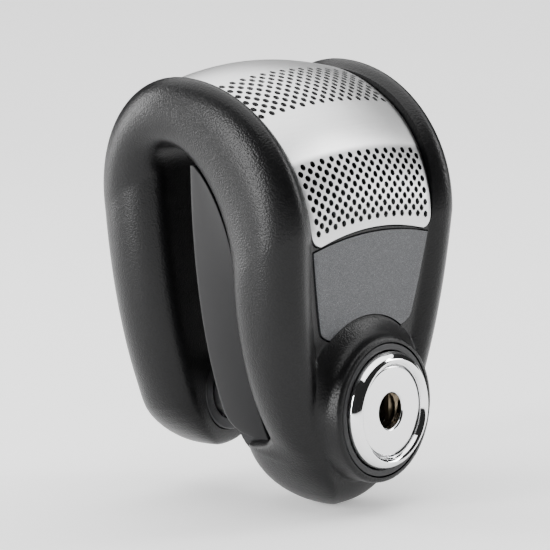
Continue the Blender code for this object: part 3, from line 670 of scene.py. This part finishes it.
plate = {
    "archY": cover["archY"] + 3.0 * mm, "archZ": pinHeight + 40.3 * mm, "radius": 34.7 * mm,
    "back": cover["archBack"] - 5.0 * mm, "crown": 2.6 * mm, "halfTop": 23.0 * mm, "halfFoot": 20.0 * mm,
    "from": radians(184), "to": radians(38), "crownRun": radians(60), "endBow": 2.3 * mm,
    "corner": 2.6 * mm, "lip": 0.3 * mm, "thickness": 0.9 * mm, "backing": 0.5 * mm, "reach": 6.0 * mm,
    "panelThickness": 1.2 * mm, "panelTopGap": 0.8 * mm, "panelHalfTop": 19.6 * mm,
    "panelHalfFoot": 14.6 * mm, "panelFoot": pinHeight + 16.4 * mm, "panelSlope": 0.105,
    "panelSet": 0.6 * mm, "panelCorner": 3.0 * mm, "panelEdge": 0.22 * mm,
    "holeRadius": 0.74 * mm, "holeSides": 14, "holesAcross": 14, "rowStep": 1.35 * mm,
    "holeMargin": 2.3 * mm, "backingSet": 1.0 * mm, "steps": (90, 24), "panelSteps": (40, 24),
    "fields": ((2.6 * mm, 12), (32.6 * mm, 11)),   # each one's start above the plate's foot, and its rows
}


def panelFace(t, u, grow):
    # point and inward normal; t from the foot to the top, u across from -1 to 1
    top = plate["archZ"] + plate["radius"] * sin(plate["from"]) - plate["panelTopGap"] - gap + grow
    foot = plate["panelFoot"] - grow
    half = mix(plate["panelHalfFoot"], plate["panelHalfTop"], t ** 0.8) + grow
    half -= plate["panelCorner"] * max(0.0, 1 - t * 8) ** 2
    z = mix(foot, top + plate["endBow"] * (1 - u * u), t)
    y = plate["archY"] - plate["radius"] + plate["panelSet"] + plate["panelSlope"] * (top - z)
    return Vector((half * u, y, z)), Vector((0, 1, 0))


def plateFace(t, u, grow):
    # the same over the arch, from its foot in front to its end behind
    bow = plate["endBow"] * (1 - u * u) / plate["radius"]
    a = mix(plate["from"] + grow / plate["radius"] - bow, plate["to"] - grow / plate["radius"] + bow, t)
    fromFoot = min(1.0, max(0.0, (plate["from"] - a) / plate["crownRun"]))
    half = mix(plate["halfFoot"], plate["halfTop"], sin(fromFoot * pi / 2)) + grow
    fromEnd = min(t, 1 - t) * (plate["from"] - plate["to"]) * plate["radius"]
    half -= plate["corner"] * (1 - sqrt(1 - max(0.0, 1 - fromEnd / plate["corner"]) ** 2))
    reach = plate["back"] if cos(a) > 0 else plate["radius"]
    inward = Vector((0, -cos(a) / reach, -sin(a) / plate["radius"])).normalized()
    onArch = Vector((half * u, plate["archY"] + reach * cos(a),
                     plate["archZ"] + plate["radius"] * sin(a)))
    return onArch + inward * plate["crown"] * fromFoot * u * u, inward


def inlay(name, face, steps, grow, top, bottom):
    # a strip between two depths under its face, grown by so much all round
    along, across = steps
    rings = []
    for i in range(along + 1):
        ring = []
        t = mix(i / along, (1 - cos(pi * i / along)) / 2, 0.7)   # closer together at the ends' corners
        for depth, order in ((bottom, 1), (top, -1)):
            for j in range(across + 1):
                point, inward = face(t, order * (2 * j / across - 1), grow)
                ring.append(point + inward * depth)
        rings.append(ring)
    return meshPiece(name, *bandBetween(rings))


def punch(spot, inward, points, faces):
    # adds one round prism
    sides = plate["holeSides"]
    side = Vector((1, 0, 0))
    up = inward.cross(side)
    base = len(points)
    for depth in (-1.0 * mm, plate["thickness"] + 0.2 * mm):
        for s in range(sides):
            a = 2 * pi * s / sides
            around = (side * cos(a) + up * sin(a)) * plate["holeRadius"]
            points.append(spot + inward * depth + around)
    for s in range(sides):
        after = (s + 1) % sides
        faces.append((base + s, base + after, base + sides + after, base + sides + s))
    faces += [tuple(range(base, base + sides)), tuple(range(base + sides, base + 2 * sides))]


def holePunches():
    # one for each hole, square to the plate's face, in rows that are set half a step over
    points, faces = [], []
    length = (plate["from"] - plate["to"]) * plate["radius"]
    across = plate["holesAcross"]
    step = 2 * (1 - plate["holeMargin"] / plate["halfTop"]) / (across - 1)
    for start, rows in plate["fields"]:
        for row in range(rows):
            t = (start + row * plate["rowStep"]) / length
            count = across - row % 2
            for k in range(count):
                punch(*plateFace(t, (k - (count - 1) / 2) * step, 0), points, faces)
    return meshPiece("hole_punches", points, faces)


def makePlate(material, backingMaterial):
    made = inlay("perforated_plate", plateFace, plate["steps"], 0, 0, plate["thickness"])
    softenEdges(made, plate["lip"])
    carve(made, holePunches())
    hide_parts("grille_plate")
    dress(made, material, "root", sharpAngle=30)
    top = plate["thickness"] + gap
    backing = inlay("plate_backing", plateFace, (60, 12), -plate["backingSet"], top, top + plate["backing"])
    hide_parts("grille_backing")
    dress(backing, backingMaterial, "root", sharpAngle=30)


def makePanel(material):
    made = inlay("speckled_panel", panelFace, plate["panelSteps"], 0, 0, plate["panelThickness"])
    carve(made, bore("panel_boss", bossRadius + cover["bossFlare"] + gap, rimY - 10 * mm, 0, 140))
    softenEdges(made, plate["panelEdge"])
    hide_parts("front_panel")
    dress(made, material, "root", sharpAngle=30)


insert = {
    "foot": pinHeight - 6.3 * mm, "play": 0.2 * mm, "rows": 70, "top": 0.38, "toe": 6.0 * mm,
    "least": 1.2 * mm, "proud": 0.2 * mm, "rim": 0.35 * mm, "backRound": 1.2 * mm, "backTuck": 0.9 * mm,
}


def coreHalf(z):
    # the core's half width at one height of the front leg
    outline = [p for p in coreFront(0) if p[0] >= 0]
    for (x0, z0), (x1, z1) in zip(outline, outline[1:]):
        if z0 <= z <= z1:
            return mix(x0, x1, (z - z0) / (z1 - z0))
    return outline[-1][0]


def insertRow(z):
    # (x, y) round the insert at one height
    c = insert
    roofTop = cover["slotRoof"] + cover["slotRadius"]
    front = frontSeam(z)
    if z > cover["seamTop"]:
        rise = min(1.0, (z - cover["seamTop"]) / (roofTop - cover["seamTop"]))
        power = cover["seamPower"]
        front = slotMid - (slotMid - cover["seamBack"]) * (1 - rise ** power) ** (1 / power)
    front += gap + c["play"]
    low = max(0.0, 1 - (z - c["foot"]) / c["toe"])
    back = slotFront - 0.05 * mm - c["toe"] * (1 - sqrt(max(0.0, 1 - low ** 2)))
    front = min(front, back - c["least"])
    inner = coreHalf(z) + gap
    outer = max(legHalf(z) - cover["seamTuck"] + c["proud"], inner + c["least"])
    rim = c["rim"]
    row = [(inner, front), (outer - rim, front), (outer - rim * 0.3, front + rim * 0.3),
           (outer, front + rim)]
    row += [(outer - c["backTuck"] * (1 - cos(a)), back - c["backRound"] + c["backRound"] * sin(a))
            for a in (radians(90) * k / 6 for k in range(7))]
    return row + [(inner, back)]


def makeInsert(name, side, stood, material):
    # its front edge follows the seam, and its back edge is flush with the slot's wall
    top = cover["slotRoof"] + cover["slotRadius"] * insert["top"]
    rings = []
    for i in range(insert["rows"] + 1):
        z = mix(insert["foot"], top, i / insert["rows"])
        rings.append([(side * x, y, z) for x, y in insertRow(z)])
    made = meshPiece(name, *bandBetween(rings))
    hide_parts(stood)
    dress(made, material, "root", sharpAngle=30)


button = {
    "radius": 13.0 * mm, "faceRadius": 10.2 * mm, "faceRecess": 0.7 * mm, "keyholeRadius": 3.95 * mm,
    "domeSlope": 1.6 * mm, "domeDepth": 2.0 * mm, "play": 0.15 * mm, "faceStep": 7.6 * mm,
    "pocket": 11.0 * mm, "webHole": 4.2 * mm, "webBack": -9.5 * mm, "webFront": -14.0 * mm,
    "chamber": 9.6 * mm, "ringGroove": 11.05 * mm, "neck": 4.0 * mm, "pinRadius": 7.0 * mm,
    "tipRound": 1.2 * mm, "latchRadius": 1.8 * mm, "latchY": -14.0 * mm, "keyway": 1.7 * mm,
    "screwRadius": 1.6 * mm, "screwSet": 2.0 * mm, "travel": 17.3 * mm, "steps": 180,
    "guideRadius": 9.0 * mm, "receiverWall": 2.45 * mm, "receiverFloor": 1.2 * mm, "vent": 1.2 * mm,
    "bushSteps": 120,
}


def makeButton(chrome):
    # the corners are (radius, y, fillet): the domed rim, the outside, the pocket, the web and the chamber
    b = button
    r = b["radius"]
    f = b["faceRadius"]
    dome = rimY - b["domeDepth"]
    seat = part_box("snap_ring")[0].y - b["play"]
    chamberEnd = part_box("rotor_barrel")[0].y - b["play"]
    corners = [(f, rimY - b["faceRecess"] - 0.1 * mm, 0.25 * mm),
               (f + 0.5 * mm, dome + 0.3 * mm, 0.5 * mm), (r - b["domeSlope"], dome, 1.0 * mm),
               (r - 0.6 * mm, rimY - 1.2 * mm, 0.7 * mm),
               (r, rimY, 0.7 * mm), (r, buttonBack, 0.4 * mm), (b["pocket"], buttonBack, 0.3 * mm),
               (b["pocket"], b["webBack"], 0), (b["webHole"], b["webBack"], 0),
               (b["webHole"], b["webFront"], 0), (b["chamber"], b["webFront"], 0),
               (b["chamber"], chamberEnd, 0), (b["ringGroove"], chamberEnd, 0),
               (b["ringGroove"], seat, 0), (f, seat, 0)]
    shell = latheRing("chrome_button", rounded(corners, 6), b["steps"])
    top = pinHeight + r
    low = pinHeight - r
    latch = b["latchRadius"] + gap
    carve(shell, cuboid("latch_way", latch, b["latchY"] - latch, buttonBack + 1 * mm, top - b["keyway"],
                        top + 2 * mm))
    screw = b["screwRadius"] + gap
    screwY = buttonBack - b["screwSet"] - b["travel"] - screw
    carve(shell, cuboid("screw_way", screw, screwY - screw, screwY + b["travel"] + screw, low - 2 * mm,
                        low + b["keyway"]))
    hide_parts("button_shell")
    dress(shell, chrome, "button", sharpAngle=40)


def makePin(steel):
    b = button
    r = b["pinRadius"]
    shoulder = b["webBack"] + gap
    tip = pinTip - b["tipRound"]
    profile = [(b["neck"], b["webFront"] + gap), (b["neck"], shoulder), (r, shoulder), (r, tip)]
    profile += [(r - b["tipRound"] * (1 - cos(a)), tip + b["tipRound"] * sin(a))
                for a in (radians(15) * k for k in range(1, 7))]
    pin = latheSolid("ground_pin", profile, b["bushSteps"])
    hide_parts("locking_pin")
    dress(pin, steel, "button", sharpAngle=35)


def makeFace(chrome):
    b = button
    front = rimY - b["faceRecess"]
    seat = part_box("snap_ring")[0].y - gap
    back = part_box("face_disc")[1].y
    hole = b["keyholeRadius"]
    edge = b["faceRadius"] - gap
    corners = [(hole, front + 0.3 * mm, 0.2 * mm), (hole + 0.35 * mm, front, 0.25 * mm),
               (edge, front, 0.45 * mm), (edge, seat, 0.1 * mm), (b["faceStep"], seat, 0),
               (b["faceStep"], back, 0), (hole, back, 0)]
    face = latheRing("chrome_face", rounded(corners, 6), b["steps"])
    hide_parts("face_disc")
    dress(face, chrome, "rotor", sharpAngle=40)


def makeCollar(material):
    inner = cover["boreRadius"]
    outer = noseRadius
    back = bossY + cover["collarWall"]
    corners = [(inner, bossY, 0.3 * mm), (outer, bossY, 0.35 * mm), (outer, back, 0.1 * mm),
               (inner, back, 0.1 * mm)]
    collar = latheRing("smooth_collar", rounded(corners, 6), button["steps"])
    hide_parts("bore_collar")
    dress(collar, material, "root", sharpAngle=50)


def makeBushes(steel):
    b = button
    hole = b["pinRadius"] + running
    low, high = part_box("pin_guide_bush")
    radius = b["guideRadius"]
    corners = [(radius, low.y, 0.2 * mm), (radius, high.y, 0.3 * mm), (hole, high.y, 0.5 * mm),
               (hole, low.y, 0.2 * mm)]
    guide = latheRing("guide_bush", rounded(corners), b["bushSteps"])
    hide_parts("pin_guide_bush")
    dress(guide, steel, "root", sharpAngle=40)

    low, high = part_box("receiver_bush")
    radius = hole + b["receiverWall"]
    floor = high.y - b["receiverFloor"]
    corners = [(radius, low.y, 0.5 * mm), (radius, high.y, 0.3 * mm), (b["vent"], high.y, 0),
               (b["vent"], floor, 0), (hole, floor, 0.4 * mm), (hole, low.y, 0.6 * mm)]
    receiver = latheRing("end_bush", rounded(corners), b["bushSteps"])
    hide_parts("receiver_bush")
    dress(receiver, steel, "root", sharpAngle=40)


def dressNodes(finishes):
    # the CAD nodes that show as they are
    chosen = {"core_body": "core_steel", "bore_seal": "seal_rubber", "retaining_screw": "pin_steel",
              "latch_spring": "pin_steel", "latch_plug": "pin_steel", "latch_plunger": "pin_steel",
              "cross_pin": "pin_steel", "return_spring": "pin_steel", "snap_ring": "pin_steel",
              "rotor_barrel": "disc_brass", "sidebar": "pin_steel"}
    chosen.update({name: "disc_brass" for name in nodes if name.startswith("detainer_disc")})
    chosen.update({name: "pin_steel" for name in nodes if name.startswith("disc_spacer")})
    for name, slotName in chosen.items():
        dress(nodes[name], finishes[slotName])


stage = {
    "floorSize": 12.0, "floorColour": (0.86, 0.86, 0.86), "floorPale": (0.9, 0.9, 0.9), "floorGlow": 0.4,
    "cloudSize": 400, "worldLight": 0.025,
    # name, place, aim, width, height, watts
    "lights": (("overhead", (0.9, 0.8, 2.5), (0.9, 0.8, 0), 4.5, 4.5, 215.0),
               ("left_side", (-0.60, 0.18, 0.15), (0, 0, 0.05), 0.13, 0.44, 5.2),
               ("back_left", (-0.30, 0.62, 0.20), (0, 0, 0.05), 0.22, 0.44, 5.0),
               ("right_front", (0.55, -0.42, 0.34), (0, 0, 0.05), 0.14, 0.5, 3.0)),
    "cameraPlace": (-0.4660, -0.4073, 0.1494), "cameraRight": (0.657, -0.753, -0.022),
    "cameraUp": (0.133, 0.088, 0.987), "lens": 183.3, "sensor": 36.0,
}


def makeFloor():
    half = stage["floorSize"] / 2
    corners = [(-half, -half, 0), (half, -half, 0), (half, half, 0), (-half, half, 0)]
    floor = meshPiece("floor", corners, [(0, 1, 2, 3)])
    f = Finish("pale_floor", Emission_Strength=stage["floorGlow"], Emission_Color=(1, 1, 1, 1))
    shade = f.noise(stage["cloudSize"], 2)
    floor.data.materials.append(f.done(f.blend(shade, stage["floorColour"], stage["floorPale"]), 0.9))


def softbox(name, place, aim, width, height, watts):
    lamp = bpy.data.lights.new(name, "AREA")
    lamp.shape = "RECTANGLE"
    lamp.size = width
    lamp.size_y = height
    lamp.energy = watts
    made = bpy.data.objects.new(name, lamp)
    made.location = place
    made.rotation_euler = (Vector(aim) - Vector(place)).to_track_quat("-Z", "Y").to_euler()
    bpy.context.scene.collection.objects.link(made)


def makeLights():
    world = bpy.data.worlds.new("studio")
    world.use_nodes = True
    background = world.node_tree.nodes["Background"]
    background.inputs["Color"].default_value = (1, 1, 1, 1)
    background.inputs["Strength"].default_value = stage["worldLight"]
    bpy.context.scene.world = world
    for light in stage["lights"]:
        softbox(*light)


def makeCamera():
    lens = bpy.data.cameras.new("camera")
    lens.lens = stage["lens"]
    lens.sensor_width = stage["sensor"]
    lens.clip_start = 0.01
    lens.clip_end = 50.0
    made = bpy.data.objects.new("camera", lens)
    right = Vector(stage["cameraRight"]).normalized()
    back = right.cross(Vector(stage["cameraUp"]).normalized()).normalized()
    turn = Matrix((right, back.cross(right), back)).transposed().to_4x4()
    made.matrix_world = Matrix.Translation(stage["cameraPlace"]) @ turn
    bpy.context.scene.collection.objects.link(made)
    bpy.context.scene.camera = made


makeCamera()
makeLights()
makeFloor()
print("stage ready")

chrome = polishedChrome()
pinSteel = turnedMetal("turned_steel")
makeCover(mouldedBlack())
print("cover made")

makePlate(brushedSteel(), holeShadow())
makePanel(speckledCoat())
insertGrey = smoothGrey("insert_grey")
makeInsert("insert_left", -1, "side_insert_left", insertGrey)
makeInsert("insert_right", 1, "side_insert_right", insertGrey)
print("inlays and inserts made")

makeButton(chrome)
makePin(pinSteel)
makeFace(chrome)
makeCollar(smoothGrey("collar_grey"))
makeBushes(turnedMetal("dark_bush"))
dressNodes({"core_steel": blackenedSteel(), "seal_rubber": sealRubber(), "pin_steel": pinSteel,
            "disc_brass": turnedMetal("turned_brass")})
print("button, cylinder and fittings made")
